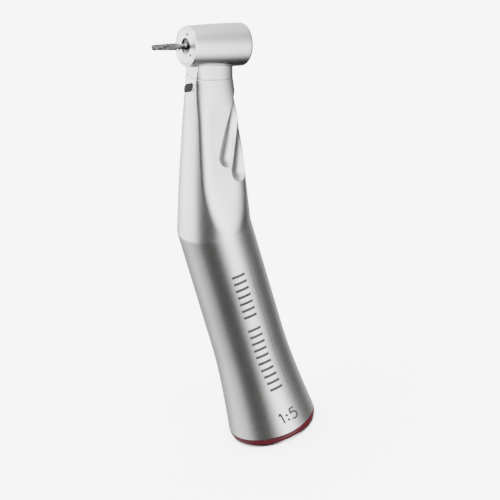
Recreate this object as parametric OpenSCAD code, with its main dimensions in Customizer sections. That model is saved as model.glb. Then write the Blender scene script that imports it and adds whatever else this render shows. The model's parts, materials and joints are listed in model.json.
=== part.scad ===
// Dental contra-angle handpiece, speed-increasing 1:5, with light, spray and push-button chuck.
// Frame: origin at the centre of the rear face, +Z up the body's axis, the neck leans to +X and
// the bur points to -X. The XZ plane is the plane of symmetry. All sizes are in millimetres.

/* [Body] */
// Height of the bend above the rear face
bend_h = 54; // [52:0.5:56]
// Angle between the body and the neck, in degrees
bend_angle = 15; // [14:0.5:16]
// Radius of the grip in its straight stretch
grip_r = 8.35; // [8.3:0.05:8.6]
// Radius of the flared rear end
rear_r = 10; // [9.9:0.05:10.2]

/* [Neck] */
// Length of the neck from the bend to the axis of the head
neck_l = 43; // [42.5:0.5:43.5]
// Radius of the neck at the bend
neck_r = 8.3; // [8.2:0.05:8.5]

/* [Head] */
// Angle between the neck and the bur, in degrees
head_angle = 100; // [99:0.5:101]
// Distance from the neck's axis to the head's front face
face_l = 5.8; // [5.7:0.1:6.2]
// Distance from the neck's axis to the head's back edge
back_l = 9; // [8.9:0.1:9.2]
// Radius of the head at its front face
face_r = 4.5; // [4.45:0.05:4.6]
// Radius of the head at its back
back_r = 4.85; // [4.8:0.05:5]

/* [Bur] */
// Radius of the bur's shank
shank_r = 0.8; // [0.79:0.01:0.8]
// Distance from the head's front face to the bur's tip
bur_reach = 8.5; // [7:0.5:10]

/* [Drive] */
// Teeth of the bell gear on the rear shaft
bell_teeth = 25; // [25]
// Teeth of the pinion on the front shaft
pinion_teeth = 10; // [10]
// Teeth of the crown gear on the front shaft
crown_teeth = 20; // [20]
// Teeth of the spindle's pinion
spindle_teeth = 10; // [10]
// Module of the bell gear and its pinion
rear_module = 0.34; // [0.33:0.005:0.35]
// Module of the crown gear and the spindle's pinion
head_module = 0.31; // [0.3:0.005:0.31]
// Travel of the push button
button_travel = 0.7; // [0.5:0.05:0.7]

/* [Motor socket] */
// Radius of the wide stretch of the socket
socket_r = 7.95; // [7.9:0.05:7.95]
// Depth of the wide stretch of the socket
socket_l = 12; // [11:0.5:12]

/* [Hidden] */

$fn = 64;
eps = 0.01;
big = 60;

steel = [0.74, 0.73, 0.72];
polished = [0.85, 0.85, 0.86];
dark_steel = [0.35, 0.35, 0.37];
brass = [0.80, 0.66, 0.36];
red = [0.43, 0.09, 0.13];
black = [0.05, 0.05, 0.06];
glass = [0.75, 0.85, 0.92];
rubber = [0.16, 0.15, 0.15];
amber = [0.72, 0.50, 0.25];

// Centre of the head, where the drive line meets the bur's axis
head_c = [neck_l * sin(bend_angle), 0, bend_h + neck_l * cos(bend_angle)];
head_tilt = bend_angle + head_angle;

// The front shaft leaves the body's axis a little below the bend and ends at the head's centre
cross_h = bend_h - 8;
drive_tilt = atan2(head_c.x, head_c.z - cross_h);
drive_l = norm([head_c.x, head_c.z - cross_h]);

module at_neck() { translate([0, 0, bend_h]) rotate([0, bend_angle, 0]) children(); }
module at_head() { translate(head_c) rotate([0, head_tilt, 0]) children(); }
module at_drive() { translate([0, 0, cross_h]) rotate([0, drive_tilt, 0]) children(); }
module at_crown() { at_drive() translate([0, 0, drive_l]) children(); }

function neck_point(x, y, v) = [x * cos(bend_angle) + v * sin(bend_angle), y,
                                bend_h - x * sin(bend_angle) + v * cos(bend_angle)];

module ring(r_in, r_out, z0, z1) {
    translate([0, 0, z0]) difference() {
        cylinder(r = r_out, h = z1 - z0);
        translate([0, 0, -1]) cylinder(r = r_in, h = z1 - z0 + 2);
    }
}

module disc(r, z0, z1) { translate([0, 0, z0]) cylinder(r = r, h = z1 - z0); }

module torus(r_mid, r_section, z) {
    translate([0, 0, z]) rotate_extrude() translate([r_mid, 0]) circle(r = r_section, $fn = 24);
}

// A straight round bar between two points, longer by extra at each end
module bar(p0, p1, r, extra) {
    step = p1 - p0;
    length = norm(step);
    translate(p0) rotate([0, acos(step.z / length), atan2(step.y, step.x)])
        translate([0, 0, -extra]) cylinder(r = r, h = length + 2 * extra, $fn = 32);
}

// A slim rod or tube through a list of points, as one closed skin of many-sided rings
route_sides = 12;

function unit(v) = v / norm(v);
function ring_axis(p, i) = i == 0 ? unit(p[1] - p[0])
    : i == len(p) - 1 ? unit(p[i] - p[i - 1])
    : unit(unit(p[i] - p[i - 1]) + unit(p[i + 1] - p[i]));
function route_ring(p, i, r) =
    let (t = ring_axis(p, i), side = unit(cross([0, 1, 0], t)), up = cross(t, side))
        [for (k = [0 : route_sides - 1])
            p[i] + r * (cos(k * 360 / route_sides) * side + sin(k * 360 / route_sides) * up)];

module rod_through(points, r) {
    rings = len(points);
    skin = [for (i = [0 : rings - 1]) each route_ring(points, i, r)];
    side_faces = [for (i = [0 : rings - 2], k = [0 : route_sides - 1])
        let (a = i * route_sides + k, b = i * route_sides + (k + 1) % route_sides)
            each [[a, a + route_sides, b], [b, a + route_sides, b + route_sides]]];
    first_cap = [for (k = [0 : route_sides - 1]) k];
    last_cap = [for (k = [route_sides - 1 : -1 : 0]) (rings - 1) * route_sides + k];
    polyhedron(skin, concat([first_cap, last_cap], side_faces), convexity = 6);
}

// ---- Gears -------------------------------------------------------------------------------

// Cone angle of the smaller of two bevel gears, from the ratio and the angle between the axes
function outer_cone(ratio, angle) = atan(sin(angle) / (ratio + cos(angle)));
function inner_cone(ratio, angle) = atan(sin(angle) / (ratio - cos(angle)));

// Points of one tooth's half outline: [radius, half width as an angle]
function tooth_half(teeth, r, add, ded, width) = [
    [r - ded, (90 / teeth) * (1 + 0.42 * ded / r * teeth / PI) * width],
    [r, (90 / teeth) * width],
    [r + add, (90 / teeth) * (1 - 0.50 * add / r * teeth / PI) * width]];

function gear_points(teeth, r, add, ded, width, phase) = [
    for (i = [0 : teeth - 1])
        let (h = tooth_half(teeth, r, add, ded, width), a = phase + i * 360 / teeth)
            each [for (p = [[h[0][0], -h[0][1]], [h[1][0], -h[1][1]], [h[2][0], -h[2][1]],
                            [h[2][0], h[2][1]], [h[1][0], h[1][1]], [h[0][0], h[0][1]]])
                      [p[0] * cos(a + p[1]), p[0] * sin(a + p[1])]]];

// Teeth that taper towards the point where the two axes meet, which is apex_l above the big end
module bevel_teeth(teeth, r, apex_l, face_w, add, ded, width, phase) {
    linear_extrude(height = face_w, scale = (apex_l - face_w) / apex_l)
        polygon(gear_points(teeth, r, add, ded, width, phase));
}

bell_pitch_r = rear_module * bell_teeth / 2;
pinion_pitch_r = rear_module * pinion_teeth / 2;
pinion_cone = inner_cone(bell_teeth / pinion_teeth, drive_tilt);
bell_cone = pinion_cone + drive_tilt;
bell_apex = bell_pitch_r / tan(bell_cone);
pinion_apex = pinion_pitch_r / tan(pinion_cone);
rear_face_w = 2.2;

crown_pitch_r = head_module * crown_teeth / 2;
spindle_pitch_r = head_module * spindle_teeth / 2;
crown_angle = 180 - (head_tilt - drive_tilt);
spindle_cone = outer_cone(crown_teeth / spindle_teeth, crown_angle);
crown_cone = crown_angle - spindle_cone;
crown_apex = crown_pitch_r / tan(crown_cone);
spindle_apex = spindle_pitch_r / tan(spindle_cone);

module pinion_shape(teeth, r, apex_l, face_w, phase, module_size) {
    bevel_teeth(teeth, r, apex_l, face_w, 0.85 * module_size, 1.1 * module_size, 0.80, phase);
}

// ---- Ball bearings -----------------------------------------------------------------------

// Each bearing: inner radius, outer radius, width, number of balls
head_bearing = [1.5875, 3.175, 2.0, 7];
neck_front_bearing = [1.0, 2.6, 1.6, 7];
neck_rear_bearing = [1.6, 3.6, 2.0, 8];
body_bearing = [2.0, 4.5, 2.5, 9];
ball_play = 0.03;

function pitch_of(b) = (b[0] + b[1]) / 2;
function ball_of(b) = 0.3 * (b[1] - b[0]);
function land_of(b) = 0.5 * ball_of(b);

module bearing_groove(b) {
    translate([0, 0, b[2] / 2]) rotate_extrude()
        translate([pitch_of(b), 0]) circle(r = ball_of(b) + ball_play, $fn = 32);
}

module outer_race(b) {
    color(steel) difference() {
        ring(pitch_of(b) + land_of(b), b[1], 0, b[2]);
        bearing_groove(b);
    }
}

module inner_race(b) {
    color(steel) difference() {
        ring(b[0], pitch_of(b) - land_of(b), 0, b[2]);
        bearing_groove(b);
    }
}

module ball_places(b) {
    for (i = [0 : b[3] - 1]) rotate(i * 360 / b[3]) translate([pitch_of(b), 0, b[2] / 2]) children();
}

module balls(b) { color(polished) ball_places(b) sphere(r = ball_of(b), $fn = 24); }

// A crown cage: a ring beside the balls with a tab between each two of them
module cage(b) {
    half_wall = 0.5 * land_of(b);
    pocket = 2 * (ball_of(b) + ball_play);
    color(amber) difference() {
        ring(pitch_of(b) - half_wall, pitch_of(b) + half_wall, 0.12, b[2] - 0.3);
        ball_places(b) translate([-1, -pocket / 2, -pocket / 2]) cube([2, pocket, 3]);
    }
}

// Where each bearing sits along its own shaft
head_front_z = -5.1;
head_rear_z = 4.2;
neck_front_z = -5.4;
neck_rear_z = 14.6;
body_front_z = 46.5;
body_rear_z = 31;

module at_head_front() { at_head() translate([0, 0, head_front_z]) children(); }
module at_head_rear() { at_head() translate([0, 0, head_rear_z]) children(); }
module at_neck_front() { at_crown() translate([0, 0, neck_front_z]) children(); }
module at_neck_rear() { at_drive() translate([0, 0, neck_rear_z]) children(); }
module at_body_front() { translate([0, 0, body_front_z]) children(); }
module at_body_rear() { translate([0, 0, body_rear_z]) children(); }

module head_front_outer_race() { at_head_front() outer_race(head_bearing); }
module head_front_inner_race() { at_head_front() inner_race(head_bearing); }
module head_front_balls() { at_head_front() balls(head_bearing); }
module head_front_cage() { at_head_front() cage(head_bearing); }
module head_rear_outer_race() { at_head_rear() outer_race(head_bearing); }
module head_rear_inner_race() { at_head_rear() inner_race(head_bearing); }
module head_rear_balls() { at_head_rear() balls(head_bearing); }
module head_rear_cage() { at_head_rear() cage(head_bearing); }
module neck_front_outer_race() { at_neck_front() outer_race(neck_front_bearing); }
module neck_front_inner_race() { at_neck_front() inner_race(neck_front_bearing); }
module neck_front_balls() { at_neck_front() balls(neck_front_bearing); }
module neck_front_cage() { at_neck_front() cage(neck_front_bearing); }
module neck_rear_outer_race() { at_neck_rear() outer_race(neck_rear_bearing); }
module neck_rear_inner_race() { at_neck_rear() inner_race(neck_rear_bearing); }
module neck_rear_balls() { at_neck_rear() balls(neck_rear_bearing); }
module neck_rear_cage() { at_neck_rear() cage(neck_rear_bearing); }
module body_front_outer_race() { at_body_front() outer_race(body_bearing); }
module body_front_inner_race() { at_body_front() inner_race(body_bearing); }
module body_front_balls() { at_body_front() balls(body_bearing); }
module body_front_cage() { at_body_front() cage(body_bearing); }
module body_rear_outer_race() { at_body_rear() outer_race(body_bearing); }
module body_rear_inner_race() { at_body_rear() inner_race(body_bearing); }
module body_rear_balls() { at_body_rear() balls(body_bearing); }
module body_rear_cage() { at_body_rear() cage(body_bearing); }

// ---- Outer shells ------------------------------------------------------------------------

sleeve_z0 = 1.5;
flare_z0 = 2;
flare_z1 = 23;
seam_v = 35.8;

function grip_radius(z) = z < flare_z0 ? rear_r
    : grip_r + (rear_r - grip_r) * pow(max(0, 1 - (z - flare_z0) / (flare_z1 - flare_z0)), 1.5);
function neck_radius(v) = v > 35 ? neck_radius(35) : neck_r - 0.065 * v - 0.0006 * v * v;

// Half width of the neck between its side flats: a long taper that flares out in an arc
flat_v = 14;
flat_half = 5.45;
flat_taper = 0.1;
flat_arc_r = 35;
function flat_at(v) = v > flat_v ? flat_half - flat_taper * (v - flat_v)
    : flat_half + flat_taper * (flat_v - v) + pow(flat_v - v, 2) / (2 * flat_arc_r);

// The facet that carries the light window faces the way the bur points
facet_l = 3.5;

module grip_solid() {
    top = bend_h + 0.6;
    z_list = [sleeve_z0, 2, 3, 4.5, 6, 8, 10, 12, 14, 16.5, 19, 23, top];
    rotate_extrude($fn = 96)
        polygon(concat([[0, sleeve_z0]], [for (z = z_list) [grip_radius(z), z]], [[0, top]]));
}

module neck_solid(v_top) {
    v_list = [-4, 0, 4, 8, 12, 16, 20, 24, 28, 32, 35, neck_l + 4];
    side = [for (v = [-8 : 2 : 14]) [flat_at(v), v]];
    intersection() {
        rotate_extrude($fn = 96)
            polygon(concat([[0, -4]], [for (v = v_list) [neck_radius(v), v]], [[0, neck_l + 4]]));
        rotate([90, 0, 90]) translate([0, 0, -big / 2]) linear_extrude(big)
            polygon(concat(side, [[flat_at(v_top), v_top], [-flat_at(v_top), v_top]],
                           [for (v = [14 : -2 : -8]) [-flat_at(v), v]]));
    }
}

// Everything on the body's side of the plane that halves the bend, less a small overlap
module behind_bend() {
    overlap = 0.9;
    translate([0, 0, bend_h - overlap]) rotate([0, bend_angle / 2, 0])
        translate([-big / 2, -big / 2, -80]) cube([big, big, 80]);
}

module facet_cut() {
    at_head() translate([0, -big / 2, -facet_l - big]) cube([big, big, big]);
}

// Slanted finger scoops at the back corners of the neck: [x, half y, v] of each end
scoop_r = 2.4;
scoop_ends = [[[7.0, 2.6, 31.0], [3.4, 6.6, 20.0]], [[7.5, 3.5, 23.5], [5.7, 6.8, 14.5]]];

module finger_scoops() {
    for (ends = scoop_ends, side = [-1, 1])
        rod_ends(neck_point(ends[0].x, side * ends[0].y, ends[0].z),
                 neck_point(ends[1].x, side * ends[1].y, ends[1].z), scoop_r);
}

module rod_ends(p0, p1, r) {
    bar(p0, p1, r, 0);
    translate(p0) sphere(r = r, $fn = 32);
    translate(p1) sphere(r = r, $fn = 32);
}

// Routes of the light rod and of the water and air tubes, from the media block to the neck
rod_r = 0.65;
tube_r = 0.5;
rod_route = [[-6.4, 0, 27], [-6.4, 0, 52], neck_point(-6.8, 0, 2), neck_point(-4.15, 0, 18),
             neck_point(-4.15, 0, 32.5)];
function tube_route(side) = [[6.4, side * 1.6, 27], [6.4, side * 1.6, 50],
    neck_point(6.8, side * 1.6, 2),
    neck_point(4.0, side * 0.9, 20), neck_point(4.0, side * 0.9, seam_v - 0.2)];

module neck_hollow(extra) {
    rotate_extrude() polygon([[0, -6], [7.3 + extra, -6], [6.7 + extra, 4], [4.75 + extra, 14],
                              [3.2 + extra, 29.5], [0, 29.5]]);
}

spigot_r = 3.05;
spigot_v = 30;

module grip_sleeve() {
    color(steel) difference() {
        union() {
            grip_solid();
            difference() {
                at_neck() intersection() {
                    neck_solid(neck_l + 4);
                    translate([0, 0, -10]) cylinder(r = 20, h = seam_v + 10);
                }
                behind_bend();
            }
        }
        disc(8.45, 0, 13.4);
        disc(7.6, 13, 52.5);
        at_neck() neck_hollow(0);
        at_neck() disc(spigot_r, 29, seam_v + 1);
        facet_cut();
        finger_scoops();
        rod_through(rod_route, rod_r + 0.03);
        for (side = [-1, 1]) rod_through(tube_route(side), tube_r + 0.03);
        at_window() window_outline(bezel_w, 3);
    }
}

module head_housing() {
    back_round = 0.8;
    chamber_r = 4.1;
    color(steel) difference() {
        union() {
            at_head() rotate_extrude($fn = 96)
                polygon(concat([[0, -face_l], [face_r - 0.15, -face_l], [face_r, -face_l + 0.15]],
                    [for (a = [0 : 15 : 90]) [back_r - back_round + back_round * cos(a),
                                              back_l - back_round + back_round * sin(a)]],
                    [[0, back_l]]));
            difference() {
                at_neck() intersection() {
                    neck_solid(neck_l + 4);
                    translate([0, 0, seam_v]) cylinder(r = 20, h = neck_l - seam_v);
                }
                facet_cut();
            }
            at_neck() ring(2.64, spigot_r, spigot_v, seam_v + 0.1);
        }
        // chamber, front bearing seat and face recess along the bur's axis
        at_head() disc(chamber_r, -2.95, back_l + 1);
        at_head() disc(3.62, -5.2, -2.9);
        at_head() disc(3.85, -face_l - 1, -5.15);
        // seat of the shaft's front bearing
        at_crown() disc(neck_front_bearing[1], -7, 0);
        at_crown() disc(2.2, -14, -6.9);
    }
}

// Stadium-shaped window on the facet
window_half_w = 1.9;
window_half_h = 1.08;
window_v = 34.1;
bezel_w = 0.22;

module at_window() {
    at_head() translate([(neck_l - window_v) * 0.985 + 0.88, 0, -facet_l]) children();
}

module window_outline(grow, depth) {
    corner = 0.75;
    for (sy = [-1, 1]) translate([0, sy * (window_half_w - corner), 0])
        for (sx = [-1, 1]) translate([sx * (window_half_h - corner), 0, -0.5])
            cylinder(r = corner + grow, h = depth);
    translate([-window_half_h - grow, -window_half_w + corner, -0.5])
        cube([2 * (window_half_h + grow), 2 * (window_half_w - corner), depth]);
    translate([-window_half_h + corner, -window_half_w - grow, -0.5])
        cube([2 * (window_half_h - corner), 2 * (window_half_w + grow), depth]);
}

module window_slice(grow, z0, z1) {
    intersection() {
        window_outline(grow, 5);
        translate([-5, -5, z0]) cube([10, 10, z1 - z0]);
    }
}

module light_window() {
    color(glass) at_window() window_slice(-0.02, 0.05, 0.9);
}

module window_bezel() {
    color(polished) at_window() difference() {
        window_slice(bezel_w - 0.01, 0, 0.9);
        window_slice(0, -1, 2);
    }
}

module spray_plate() {
    color(steel) at_head() difference() {
        ring(1.9, 3.83, -face_l, -5.15);
        for (a = [60, 180, 300]) rotate(a) translate([2.75, 0, -face_l - 1])
            cylinder(r = 0.17, h = 3, $fn = 24);
    }
}

cap_top = back_l + 0.05;
button_r = 3.45;

module head_cap() {
    color(steel) at_head() difference() {
        disc(4.08, 6.95, cap_top);
        disc(3.9, 6.9, 7.75);
        disc(button_r + 0.05, 7.7, cap_top + 1);
    }
}

module push_button() {
    dome_r = 16;
    color(steel) at_head() {
        intersection() {
            disc(button_r, 7.7, 9.4);
            translate([0, 0, 9.35 - dome_r]) sphere(r = dome_r, $fn = 96);
        }
        disc(3.8, 7.4, 7.7);
        disc(1.1, 6.97, 7.45);
    }
}

module button_spring() {
    color(polished) at_head() for (i = [0 : 2]) torus(3.3 - 0.25 * i, 0.12, 7.25 - 0.28 * i);
}

module ratio_ring() {
    color(red) rotate_extrude($fn = 96)
        polygon([[8.45, 0.45], [rear_r - 0.3, 0.45], [rear_r - 0.08, 0.8], [rear_r, 1.2],
                 [rear_r, sleeve_z0], [8.45, sleeve_z0]]);
}

module coupling_sleeve() {
    groove_r = socket_r + 0.35;
    deep_r = 6.7;
    deep_l = 26.5;
    color(steel) difference() {
        union() {
            disc(rear_r - 0.35, 0, 0.45);
            disc(8.45, 0.4, 13.4);
            disc(7.6, 13.3, deep_l);
        }
        disc(socket_r, -1, socket_l);
        disc(groove_r, socket_l, socket_l + 0.7);
        disc(socket_r - 0.4, socket_l + 0.6, socket_l + 1);
        disc(deep_r, socket_l, deep_l + 1);
    }
}

// Holes for the rod and the two tubes in the pieces that they pass along the body's axis
module straight_channels() {
    bar(rod_route[0], rod_route[1], rod_r + 0.03, 1);
    for (side = [-1, 1]) bar(tube_route(side)[0], tube_route(side)[1], tube_r + 0.03, 1);
}

module media_block() {
    color(brass) difference() {
        disc(7.6, 26.5, 29.5);
        disc(2.9, 26, 30);
        straight_channels();
        translate([0, 5.2, 26]) cylinder(r = 0.6, h = 1.5, $fn = 24);
    }
}

module index_pin() {
    color(polished) translate([0, 5.2, 22.5]) {
        cylinder(r = 0.6, h = 5, $fn = 24);
        translate([0, 0, 0]) sphere(r = 0.6, $fn = 24);
    }
}

module shaft_carrier() {
    carrier_r = 5.4;
    color(brass) difference() {
        union() {
            disc(carrier_r, 29.5, 50.5);
            disc(7.6, 30.5, 32.5);
            disc(7.6, 46, 48);
        }
        disc(3.9, 29, 51);
        disc(body_bearing[1], 29, body_rear_z + body_bearing[2]);
        disc(body_bearing[1], body_front_z, 51);
        straight_channels();
    }
}

// A ring round the front shaft's rear bearing with an arm to the wall on each side
module neck_carrier() {
    color(brass) difference() {
        at_drive() union() {
            disc(4.25, neck_rear_z - 0.5, neck_rear_z + neck_rear_bearing[2]);
            translate([-0.8, -5.55, neck_rear_z - 0.5]) cube([1.6, 11.1, 1.5]);
        }
        at_drive() disc(neck_rear_bearing[1], neck_rear_z, neck_rear_z + 5);
        at_drive() disc(2.9, neck_rear_z - 3, neck_rear_z + 5);
        for (side = [-1, 1]) bar(tube_route(side)[2], tube_route(side)[3], tube_r + 0.05, 1);
    }
}

module light_rod() { color(glass) rod_through(rod_route, rod_r); }

module tube(side) {
    difference() {
        rod_through(tube_route(side), tube_r);
        bar(tube_route(side)[0], tube_route(side)[1], tube_r - 0.2, 1);
    }
}

module water_tube() { color(steel) tube(-1); }
module air_tube() { color(steel) tube(1); }

module front_damping_ring() { color(rubber) at_head() torus(3.397, 0.22, head_front_z + 1.0); }
module rear_damping_ring() { color(rubber) at_head() torus(3.397, 0.22, head_rear_z + 1.0); }
module rear_bearing_seat() { color(brass) at_head() ring(3.62, 4.08, 4.1, 6.3); }
module preload_washer() { color(polished) at_head() ring(2.55, 4.0, 6.32, 6.5); }

// ---- Spindle, chuck and bur --------------------------------------------------------------

bore_play = 0.03;
chuck_r = 1.2;

module spindle() {
    color(steel) difference() {
        union() {
            at_head() disc(1.5, -5.5, head_front_z);
            at_head() disc(head_bearing[0], head_front_z, head_front_z + head_bearing[2]);
            at_head() disc(1.75, head_front_z + head_bearing[2], -2.95);
            at_head() disc(1.3, -3, 2.1);
            at_head() disc(1.1, 2, 3);
            at_head() translate([0, 0, spindle_apex]) mirror([0, 0, 1])
                pinion_shape(spindle_teeth, spindle_pitch_r, spindle_apex, 0.75, 180 / spindle_teeth,
                             head_module);
            at_head() disc(1.1, 2.8, 4);
            at_head() disc(1.85, 3.95, head_rear_z);
            at_head() disc(head_bearing[0], 3.95, 6.5);
        }
        at_head() disc(shank_r + bore_play, -6, 7);
        at_head() disc(chuck_r, 4.3, 7);
    }
}

module chuck_collet() {
    color(dark_steel) at_head() difference() {
        ring(shank_r + bore_play, chuck_r - 0.03, 4.95, 6.65);
        for (a = [0, 120, 240]) rotate(a) translate([0, -0.1, 4.9]) cube([2, 0.2, 1.2]);
    }
}

module collet_spring() {
    color(polished) at_head() for (i = [0 : 1]) torus(1.02, 0.1, 4.45 + 0.3 * i);
}

bur_head_l = 6.3;
bur_neck_r = 0.62;
shank_end = 5.3;

module bur_shank() {
    tip_z = -face_l - bur_reach;
    color(polished) at_head() {
        disc(shank_r, -face_l - 0.1, shank_end);
        translate([0, 0, shank_end]) sphere(r = shank_r * 0.99, $fn = 32);
        translate([0, 0, -face_l - 0.5]) cylinder(r1 = bur_neck_r, r2 = shank_r, h = 0.41);
        disc(bur_neck_r, tip_z + bur_head_l - 0.5, -face_l - 0.4);
    }
}

module bur_diamond() {
    tip_z = -face_l - bur_reach;
    tip_r = 0.6;
    root_r = 0.82;
    color(dark_steel) at_head() difference() {
        union() {
            translate([0, 0, tip_z + tip_r]) sphere(r = tip_r, $fn = 32);
            translate([0, 0, tip_z + tip_r]) cylinder(r1 = tip_r, r2 = root_r, h = bur_head_l - tip_r - 0.3);
            translate([0, 0, tip_z + bur_head_l - 0.3]) cylinder(r1 = root_r, r2 = bur_neck_r, h = 0.3);
        }
        disc(bur_neck_r, tip_z + bur_head_l - 0.5, tip_z + bur_head_l + 1);
    }
}

// ---- Shafts and gears --------------------------------------------------------------------

module front_shaft() {
    shaft_r = 1.4;
    nose_r = 0.8;
    color(steel) at_drive() {
        disc(nose_r, pinion_apex - rear_face_w - 0.2, neck_rear_z - 1.2);
        disc(2.1, neck_rear_z - 1.2, neck_rear_z);
        disc(neck_rear_bearing[0], neck_rear_z - 0.5, neck_rear_z + neck_rear_bearing[2] + 0.6);
        disc(shaft_r, neck_rear_z + 2, drive_l + neck_front_z);
        disc(neck_front_bearing[0], drive_l + neck_front_z - 1, drive_l - crown_apex - 0.6);
    }
}

module drive_pinion() {
    color(steel) at_drive() difference() {
        union() {
            translate([0, 0, pinion_apex]) mirror([0, 0, 1])
                pinion_shape(pinion_teeth, pinion_pitch_r, pinion_apex, rear_face_w, 0, rear_module);
            disc(1.25, pinion_apex, pinion_apex + 0.6);
        }
        disc(0.8, 0, 20);
    }
}

module crown_gear() {
    color(steel) at_crown() difference() {
        union() {
            translate([0, 0, -crown_apex])
                pinion_shape(crown_teeth, crown_pitch_r, crown_apex, 0.55, 0, head_module);
            translate([0, 0, -crown_apex - 0.5]) cylinder(r1 = 2.2, r2 = 2.9, h = 0.5);
            disc(1.5, neck_front_z + neck_front_bearing[2], -crown_apex - 0.4);
        }
        translate([0, 0, -crown_apex + 0.05]) cylinder(r1 = 1.9, r2 = 2.2, h = 2);
        disc(neck_front_bearing[0], -8, -crown_apex - 0.6);
    }
}

dog_slot_w = 1.2;

module rear_shaft() {
    color(steel) difference() {
        union() {
            disc(1.4, 21, body_rear_z - 1);
            disc(2.5, body_rear_z - 1.2, body_rear_z);
            disc(body_bearing[0], body_rear_z, body_front_z + body_bearing[2] + 2.5);
            disc(3, body_rear_z + body_bearing[2], body_front_z);
        }
        translate([0, 5, 25]) rotate([90, 0, 0]) cylinder(r = 0.4, h = 10, $fn = 24);
    }
}

module bell_gear() {
    rim_r = 5.1;
    over = 0.5;
    mouth_z = cross_h + bell_apex;
    cut_apex = bell_apex + over;
    cut_r = bell_pitch_r * cut_apex / bell_apex;
    color(steel) difference() {
        union() {
            disc(rim_r, mouth_z - rear_face_w - 1.6, mouth_z);
            disc(3, body_front_z + body_bearing[2], mouth_z - rear_face_w - 1.5);
        }
        translate([0, 0, mouth_z + over]) mirror([0, 0, 1])
            bevel_teeth(bell_teeth, cut_r, cut_apex, rear_face_w + over + 0.5, 1.1 * rear_module,
                        0.8 * rear_module, 1.12, 0);
        disc(body_bearing[0], 40, mouth_z - rear_face_w - 1);
    }
}

module drive_dog() {
    color(dark_steel) difference() {
        disc(2.4, 17.5, 27);
        disc(1.4, 21, 28);
        translate([-3, -dog_slot_w / 2, 17]) cube([6, dog_slot_w, 3.4]);
        translate([0, 5, 25]) rotate([90, 0, 0]) cylinder(r = 0.4, h = 10, $fn = 24);
    }
}

module dog_pin() {
    color(polished) translate([0, 2.35, 25]) rotate([90, 0, 0]) cylinder(r = 0.4, h = 4.7, $fn = 24);
}

grip_sleeve();
head_housing();
spray_plate();
head_cap();
push_button();
button_spring();
light_window();
window_bezel();
light_rod();
water_tube();
air_tube();
ratio_ring();
coupling_sleeve();
media_block();
shaft_carrier();
neck_carrier();
index_pin();
front_damping_ring();
rear_damping_ring();
rear_bearing_seat();
preload_washer();
head_front_outer_race();
head_front_inner_race();
head_front_balls();
head_front_cage();
head_rear_outer_race();
head_rear_inner_race();
head_rear_balls();
head_rear_cage();
neck_front_outer_race();
neck_front_inner_race();
neck_front_balls();
neck_front_cage();
neck_rear_outer_race();
neck_rear_inner_race();
neck_rear_balls();
neck_rear_cage();
body_front_outer_race();
body_front_inner_race();
body_front_balls();
body_front_cage();
body_rear_outer_race();
body_rear_inner_race();
body_rear_balls();
body_rear_cage();
spindle();
chuck_collet();
collet_spring();
bur_shank();
bur_diamond();
front_shaft();
drive_pinion();
crown_gear();
rear_shaft();
bell_gear();
drive_dog();
dog_pin();
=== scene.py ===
import json
import math
import random

import bmesh
import bpy
from mathutils import Matrix, Vector


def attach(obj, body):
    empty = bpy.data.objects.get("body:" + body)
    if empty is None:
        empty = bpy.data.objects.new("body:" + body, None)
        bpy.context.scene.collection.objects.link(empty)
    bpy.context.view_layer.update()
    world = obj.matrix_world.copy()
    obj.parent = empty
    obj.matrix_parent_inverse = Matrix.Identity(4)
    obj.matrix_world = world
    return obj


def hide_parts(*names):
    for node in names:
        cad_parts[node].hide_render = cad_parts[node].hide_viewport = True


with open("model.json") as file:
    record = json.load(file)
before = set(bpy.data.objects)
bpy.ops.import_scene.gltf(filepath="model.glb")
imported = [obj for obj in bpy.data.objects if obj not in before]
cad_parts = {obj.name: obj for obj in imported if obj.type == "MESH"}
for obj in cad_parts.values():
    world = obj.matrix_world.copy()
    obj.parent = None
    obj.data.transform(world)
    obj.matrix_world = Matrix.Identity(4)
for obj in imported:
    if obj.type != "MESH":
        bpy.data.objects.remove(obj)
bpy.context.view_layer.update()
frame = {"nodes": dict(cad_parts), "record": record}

MM = 0.001

# Driving dimensions of the shells, in millimetres and radians, as in the CAD model
BEND_H = 54.0
BEND_ANGLE = math.radians(15)
GRIP_R = 8.35
REAR_R = 10.0
NECK_L = 43.0
NECK_R = 8.3
SEAM_V = 35.8
HEAD_TILT = math.radians(115)  # the neck's bend of 15 degrees and the head's 100
FACE_L = 5.8
BACK_L = 9.0
FACE_R = 4.5
BACK_R = 4.85
FACET_L = 3.5
BUR_REACH = 8.5
HEAD_C = Vector((NECK_L * math.sin(BEND_ANGLE), 0, BEND_H + NECK_L * math.cos(BEND_ANGLE)))

# The facet is square to the head's axis, so it leans 10 degrees from the neck's line
FACET_COS = 0.985
FACET_SLOPE = 0.1763

# Only in this script: the photo's seam leans by 10 degrees, and the CAD model's is square
SEAM_LEAN = math.tan(math.radians(10))


def clamp(t):
    return max(0.0, min(1.0, t))


def smooth_min(a, b, k):
    """The smaller of two lengths, rounded over about k where they meet."""
    h = clamp(0.5 + 0.5 * (b - a) / k)
    return b * (1 - h) + a * h - k * h * (1 - h)


def blend(t):
    """An even passage from 0 to 1, flat at both ends."""
    t = clamp(t)
    return t * t * (3 - 2 * t)


def around(sides):
    """The angles of a ring's points."""
    return [2 * math.pi * k / sides for k in range(sides)]


def arc(cx, cy, r, a0, a1, steps):
    """Points of a round stretch in a plane, from a0 to a1 in degrees."""
    angles = [math.radians(a0 + (a1 - a0) * i / steps) for i in range(steps + 1)]
    return [(cx + r * math.cos(a), cy + r * math.sin(a)) for a in angles]


# ---- Places, in millimetres: the row is the part's own frame ------------------------------------

def body_to_row(x, y, z):
    return Vector((x, y, z))


def neck_to_row(x, y, v):
    """v runs along the neck from the bend, and x points to the neck's back."""
    s, c = math.sin(BEND_ANGLE), math.cos(BEND_ANGLE)
    return Vector((x * c + v * s, y, BEND_H - x * s + v * c))


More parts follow.
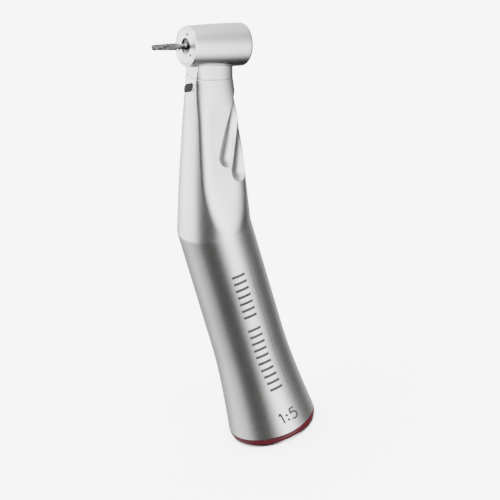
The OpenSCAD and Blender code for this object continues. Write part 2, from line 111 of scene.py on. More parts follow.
def head_to_row(x, y, z):
    """z runs along the head's axis, from the bur's side to the button."""
    s, c = math.sin(HEAD_TILT), math.cos(HEAD_TILT)
    return HEAD_C + Vector((x * c + z * s, y, -x * s + z * c))


def row_to_head(p):
    """The way back, from a point of the row to the head's own frame."""
    s, c = math.sin(HEAD_TILT), math.cos(HEAD_TILT)
    d = p - HEAD_C
    return Vector((d.x * c - d.z * s, d.y, d.x * s + d.z * c))


# ---- Meshes -------------------------------------------------------------------------------------

MERGE_DISTANCE = 1e-8


def new_object(name, points, faces, smooth=True, crease_angle=35):
    """A mesh object with doubled points merged and every face turned outwards."""
    mesh = bpy.data.meshes.new(name)
    mesh.from_pydata([tuple(p * MM) for p in points], [], faces)
    mesh.update()
    obj = bpy.data.objects.new(name, mesh)
    bpy.context.scene.collection.objects.link(obj)
    mesh.validate()
    skin = bmesh.new()
    skin.from_mesh(mesh)
    bmesh.ops.remove_doubles(skin, verts=skin.verts, dist=MERGE_DISTANCE)
    bmesh.ops.recalc_face_normals(skin, faces=skin.faces)
    skin.to_mesh(mesh)
    skin.free()
    if smooth:
        mesh.polygons.foreach_set("use_smooth", [True] * len(mesh.polygons))
        mesh.set_sharp_from_angle(angle=math.radians(crease_angle))
    return obj


def loft(name, rings, close_path=False, **keywords):
    """A skin over rings of equal point counts; close_path joins the last ring to the first."""
    count = len(rings[0])
    points = [p for ring in rings for p in ring]
    faces = []
    spans = len(rings) if close_path else len(rings) - 1
    for i in range(spans):
        a = i * count
        b = ((i + 1) % len(rings)) * count
        for k in range(count):
            n = (k + 1) % count
            faces.append((a + k, a + n, b + n, b + k))
    if not close_path:
        faces.append(tuple(reversed(range(count))))
        faces.append(tuple(range((len(rings) - 1) * count, len(rings) * count)))
    return new_object(name, points, faces, **keywords)


def turned(name, profile, place, sides, closed=True):
    """A turned piece: profile is a list of (radius, height), place puts it in the part's frame."""
    rings = [[place(r * math.cos(a), r * math.sin(a), z) for a in around(sides)] for r, z in profile]
    return loft(name, rings, close_path=closed)


# ---- Grip sleeve: the body and the neck in one shell --------------------------------------------

SLEEVE_SIDES = 256
SLEEVE_START = 2.03
SLEEVE_CHAMFER = 0.08
FLARE_START = 2
FLARE_L = 21
FLARE_POWER = 1.5
WALL_STEP_Z = 13.4
WALL_REAR_R = 8.48
WALL_FRONT_R = 7.62
NECK_WALL = 0.42
NECK_WALL_MAX_R = 7.4
NECK_STEP = 0.15
SEAM_CHAMFER = 0.05
SEAM_LEAN_START = 28

# How far each side of the bend spreads the turn from one leg to the other
BODY_LEAN_START = 40
BODY_LEAN_L = 14
NECK_LEAN_L = 9

# The neck narrows along v, a little faster and faster, up to where the taper ends
NECK_TAPER = 0.065
NECK_CURVE = 0.0006
NECK_TAPER_END = 35.0

# The side flats: half their distance at one place, how fast they close in, and the arc before it
FLAT_HALF = 5.45
FLAT_V = 14
FLAT_TAPER = 0.1
FLAT_ARC_R = 35

# Each finger scoop runs from a narrow end near the head to a wide one: (x, half y, v) of each end
SCOOPS = [((7.0, 2.6, 31.0), (1.6, 7.0, 18.0)), ((7.5, 3.5, 23.5), (4.6, 7.0, 14.4))]
SCOOP_TOP_R = 2.4
SCOOP_LOW_R = 3.1
SCOOP_START_V = 8
SCOOP_PASSES = 8
SCOOP_STEP = 0.9

# Where the flats, the facet and the scoops can be, by the sine and cosine of the angle round the neck
FLAT_MIN_SIN = 0.05
FACET_MAX_COS = -0.2
SCOOP_MIN_COS = -0.45

# How softly the flats and the facet run into the round neck
FLAT_EDGE = 1.3
FLAT_EDGE_GROWTH = 1.1
FLAT_EDGE_START = 26
FLAT_EDGE_L = 8
FACET_EDGE = 0.12


def grip_radius(z):
    """Radius of the body's outside, which flares towards the rear."""
    if z < FLARE_START:
        return REAR_R
    return GRIP_R + (REAR_R - GRIP_R) * max(0.0, 1 - (z - FLARE_START) / FLARE_L) ** FLARE_POWER


def neck_radius(v):
    v = min(v, NECK_TAPER_END)
    return NECK_R - NECK_TAPER * v - NECK_CURVE * v * v


def flat_at(v):
    """Half the distance between the neck's side flats."""
    before = FLAT_V - v
    flare = before ** 2 / (2 * FLAT_ARC_R) if before > 0 else 0.0
    return FLAT_HALF + FLAT_TAPER * before + flare


def scoop_depth(p, a, b):
    """How far a point lies inside one finger scoop, which widens from a to b."""
    ab = b - a
    t = clamp((p - a).dot(ab) / ab.dot(ab))
    return SCOOP_TOP_R + (SCOOP_LOW_R - SCOOP_TOP_R) * t - (p - (a + ab * t)).length


def scooped(r, c, s, v):
    """The neck's radius r, in the direction (c, s), once the finger scoops are cut into it."""
    for narrow, wide in SCOOPS:
        a = Vector((narrow[0], math.copysign(narrow[1], s), narrow[2]))
        b = Vector((wide[0], math.copysign(wide[1], s), wide[2]))
        for _ in range(SCOOP_PASSES):
            depth = scoop_depth(Vector((r * c, r * s, v)), a, b)
            if depth <= 0:
                break
            r -= depth * SCOOP_STEP
    return r


def skin_radius(angle, v):
    """Radius of the neck's outside at an angle from its back, with the flats, facet and scoops."""
    c, s = math.cos(angle), math.sin(angle)
    r = neck_radius(v)
    if abs(s) > FLAT_MIN_SIN:
        edge = FLAT_EDGE + FLAT_EDGE_GROWTH * blend((v - FLAT_EDGE_START) / FLAT_EDGE_L)
        r = smooth_min(r, flat_at(v) / abs(s), edge)
    if c < FACET_MAX_COS:
        r = smooth_min(r, (FACET_L / FACET_COS + FACET_SLOPE * (NECK_L - v)) / -c, FACET_EDGE)
    if c > SCOOP_MIN_COS and SCOOP_START_V < v < SEAM_V:
        r = scooped(r, c, s, v)
    return r


def leaning_point(place, r, angle, along, lean):
    """A point of a ring that tilts about the y axis, so that rings turn evenly through the bend."""
    x = r * math.cos(angle)
    return place(x, r * math.sin(angle), along + x * lean)


def body_rings(angles, bend_lean):
    """The body's outside and its inner wall, from the red ring up to the bend."""
    heights = [SLEEVE_START, 2.11]
    heights += [2.5 + 0.5 * i for i in range(43)]
    heights += [24 + 1.5 * i for i in range(19)]
    heights += [52, 53, 53.6]
    outer, inner = [], []
    for z in heights:
        lean = -blend((z - BODY_LEAN_START) / BODY_LEAN_L) * bend_lean
        r = grip_radius(z) - (SLEEVE_CHAMFER if z == SLEEVE_START else 0.0)
        wall_r = WALL_REAR_R if z < WALL_STEP_Z else WALL_FRONT_R
        outer.append([leaning_point(body_to_row, r, a, z, lean) for a in angles])
        inner.append([leaning_point(body_to_row, wall_r, a, z, lean) for a in angles])
    return outer, inner


def neck_rings(angles, bend_lean):
    """The neck's outside and its inner wall, from the bend to the leaning seam."""
    stations = [NECK_STEP * i for i in range(int(SEAM_V / NECK_STEP))]
    stations += [SEAM_V - 0.06, SEAM_V]
    outer, inner = [], []
    for v in stations:
        seam_share = blend((v - SEAM_LEAN_START) / (SEAM_V - SEAM_LEAN_START))
        lean = (1 - blend(v / NECK_LEAN_L)) * bend_lean - SEAM_LEAN * seam_share
        chamfer = SEAM_CHAMFER if v == SEAM_V else 0.0
        ring, wall = [], []
        for a in angles:
            r = skin_radius(a, v)
            shift = r * math.cos(a) * lean if v > SEAM_LEAN_START else 0
            r = skin_radius(a, v + shift) - chamfer
            wall_r = min(r - NECK_WALL, NECK_WALL_MAX_R)
            ring.append(leaning_point(neck_to_row, r, a, v, lean))
            wall.append(leaning_point(neck_to_row, wall_r, a, v, lean))
        outer.append(ring)
        inner.append(wall)
    return outer, inner


def make_grip_sleeve():
    angles = around(SLEEVE_SIDES)
    bend_lean = math.tan(BEND_ANGLE / 2)
    body_outer, body_inner = body_rings(angles, bend_lean)
    neck_outer, neck_inner = neck_rings(angles, bend_lean)
    inside = (body_inner + neck_inner)[::-1]
    return loft("grip_sleeve_shell", body_outer + neck_outer + inside, close_path=True)


# ---- Head: the barrel, and the stub of the neck that runs into it -------------------------------

BARREL_SIDES = 192
BARREL_POWER = 2.6
BARREL_EDGE_R = 0.8
CAP_SEAT_R = 4.1
PLATE_SEAT_R = 3.86
LEDGE_R = 3.62
LEDGE_Z = -2.95
PLATE_SEAT_Z = -5.2
STUB_SIDES = 224
STUB_STEPS = 40
STUB_FILLET = 0.5
STUB_FILLET_REACH = 0.8
STUB_SINK = 0.02
STUB_SEAM_GAP = 0.03
STUB_CORE_SHARE = 0.2
HALVINGS = 26


def barrel_radius(z):
    """Radius of the head's barrel, which swells quickly behind the face and then evens out."""
    t = (z + FACE_L) / (BACK_L - BARREL_EDGE_R + FACE_L)
    return FACE_R + (BACK_R - FACE_R) * (1 - (1 - t) ** BARREL_POWER)


def make_barrel():
    outside = [(FACE_R - 0.12, -FACE_L), (FACE_R - 0.03, -FACE_L + 0.04), (FACE_R, -FACE_L + 0.14)]
    outside += [(barrel_radius(z), z) for z in [-5.2 + 0.6 * i for i in range(22)]]
    outside += arc(BACK_R - BARREL_EDGE_R, BACK_L - BARREL_EDGE_R, BARREL_EDGE_R, 0, 90, 12)
    inside = [(CAP_SEAT_R + 0.02, BACK_L), (CAP_SEAT_R, BACK_L - 0.1), (CAP_SEAT_R, LEDGE_Z),
              (LEDGE_R, LEDGE_Z), (LEDGE_R, PLATE_SEAT_Z), (PLATE_SEAT_R, PLATE_SEAT_Z),
              (PLATE_SEAT_R + 0.01, -FACE_L + 0.16), (PLATE_SEAT_R + 0.11, -FACE_L)]
    return turned("head_barrel", outside + inside, head_to_row, sides=BARREL_SIDES)


def reach_of_barrel(r, angle, low):
    """How far along the neck a line at this radius and angle goes before it sinks into the barrel."""
    high = NECK_L
    for _ in range(HALVINGS):
        middle = (low + high) / 2
        p = row_to_head(neck_to_row(r * math.cos(angle), r * math.sin(angle), middle))
        if math.hypot(p.x, p.y) > barrel_radius(p.z) - STUB_SINK:
            low = middle
        else:
            high = middle
    return low


def stub_point(angle, t):
    """A point of the stub's skin, with t from 0 at the seam to 1 at the barrel."""
    base = skin_radius(angle, SEAM_V + 0.05)
    start = SEAM_V + STUB_SEAM_GAP - SEAM_LEAN * base * math.cos(angle)
    end = reach_of_barrel(base, angle, start)
    v = start + (end - start) * t
    r = skin_radius(angle, v) if v < end else base
    left = end - v
    if left < STUB_FILLET:
        drop = math.sqrt(max(0.0, 1 - ((STUB_FILLET - left) / STUB_FILLET) ** 2))
        grow = STUB_FILLET * (1 - drop)
        r = r + grow * STUB_FILLET_REACH
        if grow > 0:
            v = min(v, reach_of_barrel(r, angle, start))
    if t == 0:
        r -= SEAM_CHAMFER
    return neck_to_row(r * math.cos(angle), r * math.sin(angle), v)


def make_stub():
    rings = [[stub_point(a, i / STUB_STEPS) for a in around(STUB_SIDES)] for i in range(STUB_STEPS + 1)]
    core = neck_to_row(0, 0, NECK_L - 1)
    rings.append([p * (1 - STUB_CORE_SHARE) + core * STUB_CORE_SHARE for p in rings[-1]])
    return loft("head_stub", rings)


def make_head():
    barrel = make_barrel()
    stub = make_stub()
    bpy.ops.object.select_all(action="DESELECT")
    barrel.select_set(True)
    stub.select_set(True)
    bpy.context.view_layer.objects.active = barrel
    bpy.ops.object.join()
    barrel.name = "head_shell"
    return barrel


# ---- Light window -------------------------------------------------------------------------------

WINDOW_X = (NECK_L - 34.1) * FACET_COS + 0.88
WINDOW_SHEAR = 0.42
WINDOW_HALF_W = 1.8
WINDOW_HALF_H = 1.02
WINDOW_CORNER_R = 0.8
CORNER_STEPS = 10


def window_outline(lift, grow=0.0, scale=1.0):
    """The window's rounded, sheared outline, lifted off the facet; x runs towards the neck."""
    corner = WINDOW_CORNER_R * scale + grow
    half_h = WINDOW_HALF_H * scale + grow
    half_w = WINDOW_HALF_W * scale + grow
    ring = []
    for side_y, side_x, start in ((1, 1, 0), (1, -1, 90), (-1, -1, 180), (-1, 1, 270)):
        corner_x = side_x * (half_h - corner)
        corner_y = side_y * (half_w - corner)
        for dx, dy in arc(0, 0, corner, start, start + 90, CORNER_STEPS):
            y = corner_y + dy
            ring.append(head_to_row(WINDOW_X + (corner_x + dx) + WINDOW_SHEAR * y, y, -FACET_L - lift))
    return ring


def make_lens():
    """A low dome that stands 0.16 mm off the facet."""
    return loft("window_lens", [window_outline(-0.8), window_outline(0.1), window_outline(0.13, grow=-0.05),
                                window_outline(0.16, scale=0.6)])


def make_rim():
    """A rounded frame about the lens, 0.19 mm high."""
    return loft("window_rim", [window_outline(-0.5), window_outline(0.14), window_outline(0.19, grow=0.05),
                               window_outline(0.19, grow=0.15), window_outline(0.12, grow=0.22),
                               window_outline(-0.5, grow=0.22)], close_path=True)


# ---- Bur, painted shade in the spray holes, and ring --------------------------------------------

DIAMOND_L = 6.3
DIAMOND_TIP_R = 0.62
DIAMOND_ROOT_R = 0.84
DIAMOND_NECK_R = 0.62
TIP_ROUND_R = 0.2
ROOT_TAPER_L = 0.35
GRIT_HEIGHT = 0.1
GRIT_SINK = 0.06
SPRAY_TURNS = (60, 180, 300)
SPRAY_RING_R = 2.75
SPRAY_SHADE_R = 0.34
RING_BOTTOM = 0.47
RING_TOP = 1.99
RING_BORE_R = 8.47
RING_ROUND_R = 0.55


def diamond_radius(end):
    """Radius of the bur's working end, at a distance from its tip."""
    r = DIAMOND_TIP_R + (DIAMOND_ROOT_R - DIAMOND_TIP_R) * (end / DIAMOND_L)
    if end < TIP_ROUND_R:
        r = DIAMOND_TIP_R - TIP_ROUND_R + math.sqrt(max(0.0, TIP_ROUND_R ** 2 - (TIP_ROUND_R - end) ** 2))
    if end > DIAMOND_L - ROOT_TAPER_L:
        r = DIAMOND_NECK_R + (r - DIAMOND_NECK_R) * (DIAMOND_L - end) / ROOT_TAPER_L
    return r


def make_diamond():
    """The bur's working end: a blunt taper with plated grit standing out of it."""
    random.seed(7)
    steps, sides = 150, 72
    rings = []
    for i in range(steps + 1):
        end = DIAMOND_L * (i / steps)
        r = diamond_radius(end)
        ring = []
        for a in around(sides):
            grit = random.random() ** 2 * GRIT_HEIGHT - GRIT_SINK if 0 < i < steps else 0
            q = max(0.02, r + grit)
            ring.append(head_to_row(q * math.cos(a), q * math.sin(a), -FACE_L - BUR_REACH + end))
        rings.append(ring)
    return loft("diamond_grit", rings, crease_angle=25)


def make_spray_hole_shade(number, turn):
    """A dark disc of painted shade over one spray hole, wider than the hole and 0.03 mm proud of the face
    plate.
    """
    cx = SPRAY_RING_R * math.cos(math.radians(turn))
    cy = SPRAY_RING_R * math.sin(math.radians(turn))

    def place(x, y, z):
        return head_to_row(cx + x, cy + y, z)

    profile = [(SPRAY_SHADE_R, -5.3), (SPRAY_SHADE_R, -FACE_L - 0.03)]
    return turned(f"spray_hole_shade_{number}", profile, place, sides=28, closed=False)


def make_ring():
    profile = [(RING_BORE_R, RING_BOTTOM), (REAR_R - 0.38, RING_BOTTOM)]
    profile += arc(REAR_R - RING_ROUND_R, 1.2, RING_ROUND_R, -65, 0, 8)
    profile += [(REAR_R, RING_TOP - 0.06), (REAR_R - 0.06, RING_TOP), (RING_BORE_R, RING_TOP)]
    return turned("ratio_ring_enamel", profile, body_to_row, sides=224)


# ---- Marks on the body --------------------------------------------------------------------------

MARK_STEP = 0.25
MARK_BOTTOM = -0.05
MARK_TOP = 0.022
DIGITS_Z = 4.6
DIGITS_H = 2.7
DIGITS_ANGLE = math.radians(-88)
DIGITS_W = 0.48
DOT_R = 0.1
LINE_ANGLE = math.radians(-77)
LINE_W = 0.08
BARS = 18
BAR_GAP = 10
BAR_PITCH = 1.8
BAR_START = 13.6
BAR_W = 0.7


def surface_point(angle, z, lift):
    r = grip_radius(z) + lift
    return Vector((r * math.cos(angle), r * math.sin(angle), z))


def finely(stroke):
    """The same stroke with points close enough to follow the round body."""
    fine = []
    for (s0, z0), (s1, z1) in zip(stroke, stroke[1:]):
        n = max(1, int(math.hypot(s1 - s0, z1 - z0) / MARK_STEP))
        fine += [(s0 + (s1 - s0) * i / n, z0 + (z1 - z0) * i / n) for i in range(n)]
    return fine + [stroke[-1]]


def mark(name, strokes, width):
    """Dark strokes that stand just proud of the body, each a list of (arc length, height) on it."""
    points, faces = [], []
    for stroke in strokes:
        fine = finely(stroke)
        first = len(points)
        for i, (s, z) in enumerate(fine):
            before, after = fine[max(0, i - 1)], fine[min(len(fine) - 1, i + 1)]
            ds, dz = after[0] - before[0], after[1] - before[1]
            length = math.hypot(ds, dz) or 1
            for side in (-1, 1):
                edge_s = s - side * dz / length * width / 2
                edge_z = z + side * ds / length * width / 2
                for lift in (MARK_BOTTOM, MARK_TOP):
                    points.append(surface_point(edge_s / grip_radius(edge_z), edge_z, lift))
        for i in range(len(fine) - 1):
            a = first + 4 * i
            b = a + 4
            faces += [(a + 1, b + 1, b + 3, a + 3), (a, a + 2, b + 2, b),
                      (a, b, b + 1, a + 1), (a + 2, a + 3, b + 3, b + 2)]
        last = first + 4 * (len(fine) - 1)
        faces += [(first, first + 1, first + 3, first + 2), (last, last + 2, last + 3, last + 1)]
    return new_object(name, points, faces, smooth=False)


def make_digits():
    """The ratio, 1:5, as plain strokes."""
    z, h = DIGITS_Z, DIGITS_H
    s = DIGITS_ANGLE * grip_radius(z) - 1.6
    one = [(s - 0.55, z + h - 0.6), (s, z + h), (s, z)]
    dots = [arc(s + 1.2, z + up, DOT_R, 0, 360, 14) for up in (0.45, 1.65)]
    five = [(s + 3.55, z + h), (s + 2.4, z + h), (s + 2.25, z + 1.5)]
    five += arc(s + 2.8, z + 0.9, 0.9, 130, -140, 12)
    return mark("ratio_digits", [one, *dots, five], DIGITS_W)


def make_hairline():
    s = LINE_ANGLE * GRIP_R
    return mark("body_hairline", [[(s, 13.0), (s, 46.0)]], LINE_W)


def make_bars():
    """A row of plain bars, with one left out, where the real body has lettering."""
    s = LINE_ANGLE * GRIP_R
    heights = [BAR_START + BAR_PITCH * i for i in range(BARS) if i != BAR_GAP]
    return mark("body_bars", [[(s - 1.6, z), (s - 4.8, z)] for z in heights], BAR_W)


# ---- Materials ----------------------------------------------------------------------------------

# The stretch of a noise texture's values that is used, because few lie outside it
NOISE_RANGE = (0.3, 0.7)


def base_material(name):
    mat = bpy.data.materials.new(name)
    mat.use_nodes = True
    nodes, links = mat.node_tree.nodes, mat.node_tree.links
    bsdf = nodes["Principled BSDF"]
    coords = nodes.new("ShaderNodeTexCoord")
    return mat, nodes, links, bsdf, coords


def noise(nodes, links, coords, scale, detail=3.0):
    tex = nodes.new("ShaderNodeTexNoise")
    tex.inputs["Scale"].default_value = scale
    tex.inputs["Detail"].default_value = detail
    links.new(coords.outputs["Object"], tex.inputs["Vector"])
    return tex


def ramp_between(nodes, links, source, low, high, start=NOISE_RANGE[0], end=NOISE_RANGE[1]):
    """A colour that runs from low to high as the source runs from start to end."""
    ramp = nodes.new("ShaderNodeValToRGB")
    ramp.color_ramp.elements[0].position = start
    ramp.color_ramp.elements[0].color = (*low, 1)
    ramp.color_ramp.elements[1].position = end
    ramp.color_ramp.elements[1].color = (*high, 1)
    links.new(source, ramp.inputs["Fac"])
    return ramp


def range_of(nodes, links, source, low, high, start=NOISE_RANGE[0], end=NOISE_RANGE[1]):
    """A number that runs from low to high as the source runs from start to end."""
    spread = nodes.new("ShaderNodeMapRange")
    spread.inputs["From Min"].default_value = start
    spread.inputs["From Max"].default_value = end
    spread.inputs["To Min"].default_value = low
    spread.inputs["To Max"].default_value = high
    links.new(source, spread.inputs["Value"])
    return spread.outputs["Result"]


def grey(value, warm=0.0):
    return (value * (1 + warm), value, value * (1 - warm))


def surface(name, dark, light, rough, metallic=1.0, grain=9000.0, bump=0.25, depth=0.00002,
            spread=NOISE_RANGE, **sockets):
    """A material with mottled colour, uneven roughness and a fine bump; sockets sets the shader."""
    mat, nodes, links, bsdf, coords = base_material(name)
    fine = noise(nodes, links, coords, grain, 2.0)
    broad = noise(nodes, links, coords, grain / 60, 4.0)
    mix = nodes.new("ShaderNodeMix")
    mix.data_type = "FLOAT"
    mix.inputs["Factor"].default_value = 0.5
    links.new(fine.outputs["Fac"], mix.inputs["A"])
    links.new(broad.outputs["Fac"], mix.inputs["B"])
    colour = ramp_between(nodes, links, mix.outputs["Result"], dark, light, *spread)
    links.new(colour.outputs["Color"], bsdf.inputs["Base Color"])
    links.new(range_of(nodes, links, fine.outputs["Fac"], *rough), bsdf.inputs["Roughness"])
    bsdf.inputs["Metallic"].default_value = metallic
    for socket, value in sockets.items():
        bsdf.inputs[socket.replace("_", " ")].default_value = value
    lump = nodes.new("ShaderNodeBump")
    lump.inputs["Strength"].default_value = bump
    lump.inputs["Distance"].default_value = depth
    links.new(fine.outputs["Fac"], lump.inputs["Height"])
    links.new(lump.outputs["Normal"], bsdf.inputs["Normal"])
    return mat


LOOKS = {
    "satin_steel": dict(dark=grey(0.49, 0.012), light=grey(0.68, 0.012), rough=(0.28, 0.345),
                        grain=4600, bump=0.03),
    "polished_steel": dict(dark=grey(0.78), light=grey(0.88), rough=(0.08, 0.16), grain=5000, bump=0.05),
    # dark_steel: the spindle and chuck's dark steel, made darker still as painted shade in the head's mouth
    "dark_steel": dict(dark=grey(0.03), light=grey(0.07), rough=(0.3, 0.42), grain=6000, bump=0.3),
    "shank_steel": dict(dark=grey(0.10), light=grey(0.17), rough=(0.2, 0.3), grain=6000, bump=0.1),
    "gear_steel": dict(dark=grey(0.42), light=grey(0.56), rough=(0.22, 0.34), grain=6000, bump=0.2),
    "bearing_steel": dict(dark=grey(0.62), light=grey(0.78), rough=(0.12, 0.2), grain=5000, bump=0.08),
    "tube_steel": dict(dark=grey(0.5), light=grey(0.62), rough=(0.25, 0.35), grain=5000, bump=0.15),
    "brass": dict(dark=(0.55, 0.40, 0.16), light=(0.72, 0.55, 0.25), rough=(0.25, 0.38),
                  grain=5000, bump=0.2),
    "red_enamel": dict(dark=(0.026, 0.001, 0.003), light=(0.05, 0.002, 0.005), rough=(0.3, 0.42),
                       metallic=0.1, grain=6000, bump=0.15, Specular_IOR_Level=0.25),
    # lens_glass: the lens's dark glass, also worn by the discs of painted shade over the spray holes
    "lens_glass": dict(dark=(0.002, 0.002, 0.002), light=(0.01, 0.009, 0.009), rough=(0.2, 0.34),
                       metallic=0.0, grain=7000, bump=0.12, Specular_IOR_Level=0.03),
    "seal_rubber": dict(dark=grey(0.015), light=grey(0.03), rough=(0.55, 0.7), metallic=0.0,
                        grain=4000, bump=0.3),
    "cage_polymer": dict(dark=(0.35, 0.2, 0.07), light=(0.5, 0.3, 0.12), rough=(0.4, 0.55),
                         metallic=0.0),
    "diamond_grit": dict(dark=grey(0.001, 0.03), light=grey(0.1, 0.03), rough=(0.4, 0.65), metallic=0.0,
                         grain=2600, bump=0.8, depth=0.00004, spread=(0.44, 0.58),
                         Specular_IOR_Level=0.15),
    "engraving": dict(dark=grey(0.015), light=grey(0.03), rough=(0.55, 0.7), metallic=0.0,
                      grain=8000, bump=0.3, Specular_IOR_Level=0.15),
}
MATERIALS = {name: surface(name, **look) for name, look in LOOKS.items()}

# Looks that the record has no slot for, and the slot that each takes its finish from
SLOT_OF = {"engraving": "dark_steel"}


def wear(obj, look):
    obj.data.materials.clear()
    obj.data.materials.append(MATERIALS[look])


def add_piece(piece, look, body, *nodes):
    """Dresses a new piece, rides it on a body and lets it stand for the CAD nodes named."""
    wear(piece, look)
    if nodes:
        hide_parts(*nodes)
    SLOT_OF.get(look, look)
    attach(piece, body)


for part in frame["record"]["subparts"]:
    wear(frame["nodes"][part["node"]], part["material_slot"])

# The photo's shank is darker than the record's polished slot
wear(frame["nodes"]["bur_shank"], "shank_steel")

add_piece(make_grip_sleeve(), "satin_steel", "housing", "grip_sleeve")
add_piece(make_head(), "satin_steel", "housing", "head_housing")
add_piece(make_lens(), "lens_glass", "housing", "light_window")
add_piece(make_rim(), "polished_steel", "housing", "window_bezel")
add_piece(make_diamond(), "diamond_grit", "bur", "bur_diamond")
add_piece(make_ring(), "red_enamel", "housing", "ratio_ring")
# Dark discs in the lens_glass look, as painted shade in the spray holes
for number, turn in enumerate(SPRAY_TURNS, start=1):
    add_piece(make_spray_hole_shade(number, turn), "lens_glass", "housing")
for make_mark in (make_digits, make_hairline, make_bars):
    add_piece(make_mark(), "engraving", "housing")


# ---- Studio -------------------------------------------------------------------------------------

FLOOR_HALF = 6.0
FLOOR_GLOW = 2.2

# Brightness by compass direction, as (degrees, level): low down, and from about the horizon up
LOW_BANDS = [(-180, 0.3), (-166, 0.11), (-140, 0.1), (-120, 0.12), (-106, 1.2), (-90, 6.0), (-68, 4.8),
             (-54, 0.9), (-36, 0.2), (-2, 0.12), (16, 0.25), (34, 0.8), (60, 0.9), (100, 0.4), (124, 0.9),
             (140, 1.7), (156, 1.2), (170, 0.6)]
HIGH_BANDS = [(-180, 1.5), (-170, 0.5), (-160, 0.1), (-146, 0.04), (-116, 0.06), (-103, 1.3), (-90, 6.0),
              (-66, 6.0), (-46, 1.6), (-28, 0.3), (0, 0.3), (30, 1.5), (70, 2.5), (105, 4.5), (128, 6.0),
              (150, 5.0), (168, 4.2)]
TOP_LEVEL = 6.0
OVERHEAD_SHARE = 0.45
UNDERSIDE_SHARE = 0.03

# The heights, as the direction's z, over which one part of the sky passes into the next
LOW_TO_HIGH = (-0.42, -0.08)
HIGH_TO_OVERHEAD = (0.25, 0.85)
UNDERSIDE_TO_LOW = (-0.9, -0.5)

# The sockets of a colour mix node, whose names are shared with its number sockets
MIX_FACTOR, MIX_A, MIX_B, MIX_RESULT = 0, 6, 7, 2

# The photograph's view: how the camera is turned, and where it stands
CAMERA_RIGHT = Vector((0.82435, -0.50872, -0.24831))
CAMERA_UP = Vector((0.44944, 0.32146, 0.83347))
CAMERA_BACK = Vector((-0.34418, -0.79866, 0.49363))
CAMERA_DISTANCE = 1.2
CAMERA_RISE = 0.039485
CAMERA_LEFT = 0.00531
CAMERA_LENS = 377.475


def make_floor():
    """A pale floor that glows a little, so that it stays nearly white, and isn't seen in the steel."""
    h = FLOOR_HALF
    mesh = bpy.data.meshes.new("floor")
    mesh.from_pydata([(-h, -h, 0), (h, -h, 0), (h, h, 0), (-h, h, 0)], [], [(0, 1, 2, 3)])
    floor = bpy.data.objects.new("floor", mesh)
    bpy.context.scene.collection.objects.link(floor)
    mat, nodes, links, bsdf, coords = base_material("floor_paper")
    mottle = noise(nodes, links, coords, 8)
    tint = ramp_between(nodes, links, mottle.outputs["Fac"], grey(0.93), grey(0.95))
    links.new(tint.outputs["Color"], bsdf.inputs["Base Color"])
    bsdf.inputs["Roughness"].default_value = 0.9
    bsdf.inputs["Specular IOR Level"].default_value = 0.1
    bsdf.inputs["Emission Color"].default_value = (1, 1, 1, 1)
    bsdf.inputs["Emission Strength"].default_value = FLOOR_GLOW
    mesh.materials.append(mat)
    floor.visible_glossy = False


def band(nodes, links, compass, stops):
    """A grey level by compass direction, which is given from 0 to 1 for a full turn."""
    ramp = nodes.new("ShaderNodeValToRGB")
    elements = ramp.color_ramp.elements
    elements.remove(elements[1])
    for i, (angle, level) in enumerate(stops):
        element = elements[0] if i == 0 else elements.new((angle + 180) / 360)
        element.color = (*grey(level / TOP_LEVEL), 1)
    links.new(compass, ramp.inputs["Fac"])
    return ramp.outputs["Color"]


def mixed(nodes, links, factor, a):
    """A colour mix node with its factor and first colour joined up."""
    mix = nodes.new("ShaderNodeMix")
    mix.data_type = "RGBA"
    links.new(factor, mix.inputs[MIX_FACTOR])
    links.new(a, mix.inputs[MIX_A])
    return mix


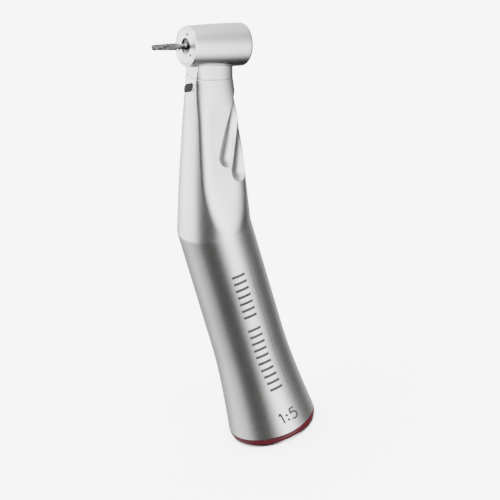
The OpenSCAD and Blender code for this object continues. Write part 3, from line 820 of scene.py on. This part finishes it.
def make_world():
    """Soft light all round the object, brighter and darker by compass direction like softboxes."""
    world = bpy.data.worlds.new("studio")
    bpy.context.scene.world = world
    world.use_nodes = True
    nodes, links = world.node_tree.nodes, world.node_tree.links
    coords = nodes.new("ShaderNodeTexCoord")
    split = nodes.new("ShaderNodeSeparateXYZ")
    links.new(coords.outputs["Generated"], split.inputs["Vector"])
    height = split.outputs["Z"]
    turn = nodes.new("ShaderNodeMath")
    turn.operation = "ARCTAN2"
    links.new(split.outputs["Y"], turn.inputs[0])
    links.new(split.outputs["X"], turn.inputs[1])
    compass = range_of(nodes, links, turn.outputs["Value"], 0.0, 1.0, -math.pi, math.pi)

    sides = mixed(nodes, links, range_of(nodes, links, height, 0.0, 1.0, *LOW_TO_HIGH),
                  band(nodes, links, compass, LOW_BANDS))
    links.new(band(nodes, links, compass, HIGH_BANDS), sides.inputs[MIX_B])
    sky = mixed(nodes, links, range_of(nodes, links, height, 0.0, 1.0, *HIGH_TO_OVERHEAD),
                sides.outputs[MIX_RESULT])
    sky.inputs[MIX_B].default_value = (*grey(OVERHEAD_SHARE), 1)

    level = nodes.new("ShaderNodeMath")
    level.operation = "MULTIPLY"
    level.inputs[1].default_value = TOP_LEVEL
    links.new(range_of(nodes, links, height, UNDERSIDE_SHARE, 1.0, *UNDERSIDE_TO_LOW), level.inputs[0])
    background = nodes["Background"]
    links.new(sky.outputs[MIX_RESULT], background.inputs["Color"])
    links.new(level.outputs["Value"], background.inputs["Strength"])


def soft_box(name, location, target, size, power):
    light = bpy.data.lights.new(name, "AREA")
    light.shape = "RECTANGLE"
    light.size, light.size_y = size
    light.energy = power
    lamp = bpy.data.objects.new(name, light)
    lamp.location = location
    lamp.rotation_euler = (Vector(target) - Vector(location)).to_track_quat("-Z", "Y").to_euler()
    bpy.context.scene.collection.objects.link(lamp)


def make_camera():
    """The photograph's view: from the side, above, with the picture rolled."""
    camera = bpy.data.cameras.new("camera")
    camera.lens = CAMERA_LENS
    camera.sensor_width = 36
    camera.clip_start, camera.clip_end = 0.05, 20
    eye = bpy.data.objects.new("camera", camera)
    place = CAMERA_BACK * CAMERA_DISTANCE + CAMERA_UP * CAMERA_RISE - CAMERA_RIGHT * CAMERA_LEFT
    turn_in = Matrix((CAMERA_RIGHT, CAMERA_UP, CAMERA_BACK)).transposed().to_4x4()
    eye.matrix_world = Matrix.Translation(place) @ turn_in
    bpy.context.scene.collection.objects.link(eye)
    bpy.context.scene.camera = eye


make_floor()
make_world()
soft_box("overhead", (0.1, 0.1, 1.4), (0, 0, 0), (1.3, 1.3), 85.0)
make_camera()
